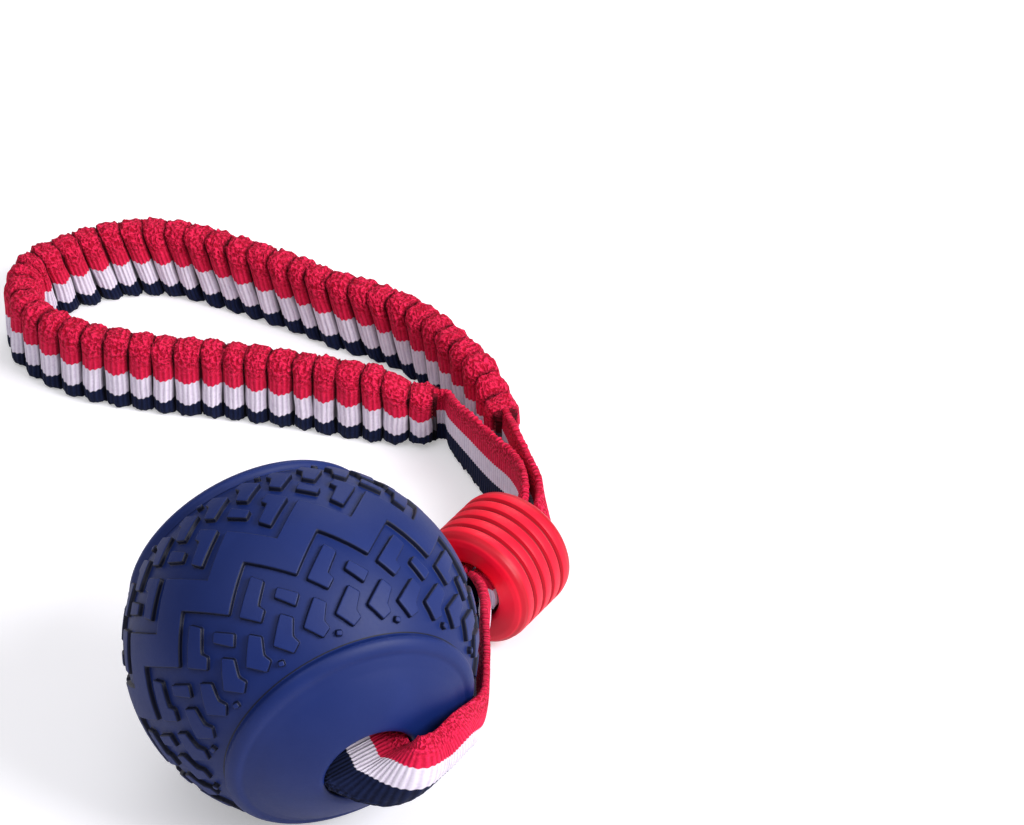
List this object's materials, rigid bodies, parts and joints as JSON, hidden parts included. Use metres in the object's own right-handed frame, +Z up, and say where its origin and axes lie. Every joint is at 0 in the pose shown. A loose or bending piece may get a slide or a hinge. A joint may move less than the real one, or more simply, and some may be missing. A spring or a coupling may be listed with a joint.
{
  "type": "ball on rope dog toy",
  "caption": "Treaded rubber ball on a loop of striped webbing, with a grooved rubber bead that slides on both straps and a gathered elastic hand loop, for throwing and tugging.",
  "frame": {"origin": "centre of the box of the toy as it lies, on the ground plane", "axes": "+Z up from the ground; +Y from the ball towards the hand loop, level; +X to the right of it, on the side of the bead"},
  "size_m": [0.131, 0.216, 0.075],
  "materials": {
    "ball_rubber": "matt moulded",
    "bead_rubber": "satin moulded",
    "webbing": "woven, red, white and navy stripes",
    "elastic": "knitted",
    "stitching": "thread"
  },
  "bodies": {
    "strap": {"handle_webbing": "webbing", "elastic_band": "elastic", "left_strap": "webbing", "right_strap": "webbing", "left_tail": "webbing", "right_tail": "webbing", "near_handle_tack": "stitching", "far_handle_tack": "stitching", "near_lap_tack": "stitching", "far_lap_tack": "stitching"},
    "ball": {"ball": "ball_rubber"},
    "bead": {"bead": "bead_rubber"}
  },
  "joints": [
    {"name": "ball_spin", "type": "hinge", "parent": "strap", "child": "ball", "pos_m": [0.00852, -0.07022, 0.0375], "axis": [0.4277, -0.8794, -0.2093], "continuous": true},
    {"name": "bead_slide", "type": "slide", "parent": "strap", "child": "bead", "axis": [0.5459, 0.8378, 0], "range_m": [-0.017, 0.02], "deforming": ["left_strap", "right_strap"]}
  ]
}
